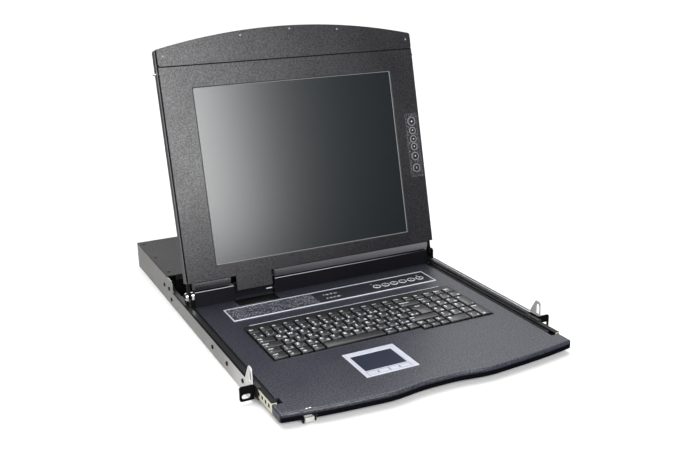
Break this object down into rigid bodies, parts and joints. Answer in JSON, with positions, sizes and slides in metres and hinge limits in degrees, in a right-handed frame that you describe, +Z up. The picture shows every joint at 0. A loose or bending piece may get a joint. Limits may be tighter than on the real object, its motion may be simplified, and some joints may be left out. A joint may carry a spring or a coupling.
{
  "type": "rack-mounted console drawer",
  "caption": "Slide-out rack console drawer with keyboard, touchpad and fold-up flat screen in front of a built-in computer switch box.",
  "frame": {"origin": "middle of the footprint at the underside, with the drawer pulled out 50 mm and the lid open", "axes": "+X to the right as the user faces the screen, +Y to the rear of the rack, +Z up"},
  "size_m": [0.4826, 0.6635, 0.428],
  "materials": {
    "zinc_steel": "satin",
    "yellow_zinc": "satin",
    "slide_steel": "satin",
    "black_paint": "satin",
    "deck_paint": "fine texture",
    "lid_paint": "fine texture",
    "cover_paint": "fine texture",
    "key_plastic": "matt",
    "panel_film": "satin",
    "silver_plastic": "satin",
    "button_plastic": "satin",
    "pad_surface": "fine texture",
    "screen_gloss": "semi gloss",
    "screen_metal": "satin",
    "circuit_board": "satin",
    "bright_steel": "polished",
    "connector_black": "matt"
  },
  "bodies": {
    "chassis": {"chassis_pan": "zinc_steel", "rear_panel": "black_paint", "front_bulkhead": "black_paint", "top_cover": "cover_paint", "chassis_screws": "black_paint", "side_plates": "zinc_steel", "rack_ears": "black_paint", "slides_outer": "slide_steel", "switch_board": "circuit_board", "power_supply": "zinc_steel", "rear_ports": "connector_black", "power_inlet": "connector_black"},
    "slides_middle": {"slides_middle": "slide_steel", "slide_ends": "connector_black"},
    "drawer": {"tray_deck": "deck_paint", "tray_bottom": "zinc_steel", "slides_inner": "yellow_zinc", "keyboard_base": "key_plastic", "switch_panel": "panel_film", "switch_panel_trim": "silver_plastic", "touchpad_frame": "silver_plastic", "touchpad_pad": "pad_surface", "latch_bracket": "black_paint", "hinge_covers": "cover_paint", "hinge_bases": "black_paint", "hinge_lugs": "bright_steel", "hinge_pins": "bright_steel"},
    "front_latch": {"front_latch": "bright_steel"},
    "lid": {"lid_shell": "lid_paint", "lid_spine": "lid_paint", "lid_bezel": "lid_paint", "lid_top_trim": "lid_paint", "lid_screws": "bright_steel", "screen_glass": "screen_gloss", "screen_module": "screen_metal", "screen_board": "circuit_board", "screen_controls": "panel_film", "hinge_arms": "bright_steel"},
    "lid_pin_left": {"lid_pin_left": "bright_steel"},
    "lid_pin_right": {"lid_pin_right": "bright_steel"},
    "switch_button_1": {"switch_button_1": "button_plastic"},
    "switch_button_2": {"switch_button_2": "button_plastic"},
    "switch_button_3": {"switch_button_3": "button_plastic"},
    "switch_button_4": {"switch_button_4": "button_plastic"},
    "switch_button_5": {"switch_button_5": "button_plastic"},
    "switch_button_6": {"switch_button_6": "button_plastic"},
    "screen_button_1": {"screen_button_1": "button_plastic"},
    "screen_button_2": {"screen_button_2": "button_plastic"},
    "screen_button_3": {"screen_button_3": "button_plastic"},
    "screen_button_4": {"screen_button_4": "button_plastic"},
    "screen_button_5": {"screen_button_5": "button_plastic"},
    "screen_button_6": {"screen_button_6": "button_plastic"},
    "touchpad_button_left": {"touchpad_button_left": "silver_plastic"},
    "touchpad_button_right": {"touchpad_button_right": "silver_plastic"},
    "keys_bottom": {"keys_bottom": "key_plastic"},
    "keys_lower": {"keys_lower": "key_plastic"},
    "keys_home": {"keys_home": "key_plastic"},
    "keys_upper": {"keys_upper": "key_plastic"},
    "keys_number": {"keys_number": "key_plastic"},
    "keys_function": {"keys_function": "key_plastic"}
  },
  "joints": [
    {"name": "drawer_slide", "type": "slide", "parent": "chassis", "child": "drawer", "axis": [0, -1, 0], "range_m": [-0.05, 0.33]},
    {"name": "middle_slide", "type": "slide", "parent": "chassis", "child": "slides_middle", "axis": [0, -1, 0], "range_m": [-0.025, 0.165]},
    {"name": "lid_hinge", "type": "hinge", "parent": "drawer", "child": "lid", "pos_m": [0, 0.05165, 0.03846], "axis": [1, 0, 0], "range_deg": [-8, 103.45]},
    {"name": "front_latch_press", "type": "hinge", "parent": "drawer", "child": "front_latch", "pos_m": [-0.1825, -0.3082, 0.012], "axis": [-1, 0, 0], "range_deg": [0, 12], "stiffness_Nm_per_rad": 0.15, "springref_deg": -17.19},
    {"name": "lid_pin_left_press", "type": "slide", "parent": "lid", "child": "lid_pin_left", "axis": [1, 0, 0], "range_m": [0, 0.0025], "stiffness_N_per_m": 900, "springref_m": -0.002},
    {"name": "lid_pin_right_press", "type": "slide", "parent": "lid", "child": "lid_pin_right", "axis": [-1, 0, 0], "range_m": [0, 0.0025], "stiffness_N_per_m": 900, "springref_m": -0.002},
    {"name": "switch_button_1_press", "type": "slide", "parent": "drawer", "child": "switch_button_1", "axis": [0, 0, -1], "range_m": [0, 0.0008], "stiffness_N_per_m": 700, "springref_m": -0.001},
    {"name": "switch_button_2_press", "type": "slide", "parent": "drawer", "child": "switch_button_2", "axis": [0, 0, -1], "range_m": [0, 0.0008], "stiffness_N_per_m": 700, "springref_m": -0.001},
    {"name": "switch_button_3_press", "type": "slide", "parent": "drawer", "child": "switch_button_3", "axis": [0, 0, -1], "range_m": [0, 0.0008], "stiffness_N_per_m": 700, "springref_m": -0.001},
    {"name": "switch_button_4_press", "type": "slide", "parent": "drawer", "child": "switch_button_4", "axis": [0, 0, -1], "range_m": [0, 0.0008], "stiffness_N_per_m": 700, "springref_m": -0.001},
    {"name": "switch_button_5_press", "type": "slide", "parent": "drawer", "child": "switch_button_5", "axis": [0, 0, -1], "range_m": [0, 0.0008], "stiffness_N_per_m": 700, "springref_m": -0.001},
    {"name": "switch_button_6_press", "type": "slide", "parent": "drawer", "child": "switch_button_6", "axis": [0, 0, -1], "range_m": [0, 0.0008], "stiffness_N_per_m": 700, "springref_m": -0.001},
    {"name": "screen_button_1_press", "type": "slide", "parent": "lid", "child": "screen_button_1", "axis": [0, 0.9726, -0.2327], "range_m": [0, 0.0006], "stiffness_N_per_m": 700, "springref_m": -0.001},
    {"name": "screen_button_2_press", "type": "slide", "parent": "lid", "child": "screen_button_2", "axis": [0, 0.9726, -0.2327], "range_m": [0, 0.0006], "stiffness_N_per_m": 700, "springref_m": -0.001},
    {"name": "screen_button_3_press", "type": "slide", "parent": "lid", "child": "screen_button_3", "axis": [0, 0.9726, -0.2327], "range_m": [0, 0.0006], "stiffness_N_per_m": 700, "springref_m": -0.001},
    {"name": "screen_button_4_press", "type": "slide", "parent": "lid", "child": "screen_button_4", "axis": [0, 0.9726, -0.2327], "range_m": [0, 0.0006], "stiffness_N_per_m": 700, "springref_m": -0.001},
    {"name": "screen_button_5_press", "type": "slide", "parent": "lid", "child": "screen_button_5", "axis": [0, 0.9726, -0.2327], "range_m": [0, 0.0006], "stiffness_N_per_m": 700, "springref_m": -0.001},
    {"name": "screen_button_6_press", "type": "slide", "parent": "lid", "child": "screen_button_6", "axis": [0, 0.9726, -0.2327], "range_m": [0, 0.0006], "stiffness_N_per_m": 700, "springref_m": -0.001},
    {"name": "touchpad_button_left_press", "type": "slide", "parent": "drawer", "child": "touchpad_button_left", "axis": [0, 0, -1], "range_m": [0, 0.0008], "stiffness_N_per_m": 700, "springref_m": -0.001},
    {"name": "touchpad_button_right_press", "type": "slide", "parent": "drawer", "child": "touchpad_button_right", "axis": [0, 0, -1], "range_m": [0, 0.0008], "stiffness_N_per_m": 700, "springref_m": -0.001},
    {"name": "keys_bottom_press", "type": "slide", "parent": "drawer", "child": "keys_bottom", "axis": [0, 0, -1], "range_m": [0, 0.0025], "stiffness_N_per_m": 400, "springref_m": -0.002},
    {"name": "keys_lower_press", "type": "slide", "parent": "drawer", "child": "keys_lower", "axis": [0, 0, -1], "range_m": [0, 0.0025], "stiffness_N_per_m": 400, "springref_m": -0.002},
    {"name": "keys_home_press", "type": "slide", "parent": "drawer", "child": "keys_home", "axis": [0, 0, -1], "range_m": [0, 0.0025], "stiffness_N_per_m": 400, "springref_m": -0.002},
    {"name": "keys_upper_press", "type": "slide", "parent": "drawer", "child": "keys_upper", "axis": [0, 0, -1], "range_m": [0, 0.0025], "stiffness_N_per_m": 400, "springref_m": -0.002},
    {"name": "keys_number_press", "type": "slide", "parent": "drawer", "child": "keys_number", "axis": [0, 0, -1], "range_m": [0, 0.0025], "stiffness_N_per_m": 400, "springref_m": -0.002},
    {"name": "keys_function_press", "type": "slide", "parent": "drawer", "child": "keys_function", "axis": [0, 0, -1], "range_m": [0, 0.0025], "stiffness_N_per_m": 400, "springref_m": -0.002}
  ],
  "couplings": [
    {"joint": "middle_slide", "follows": "drawer_slide", "ratio": 0.5}
  ]
}
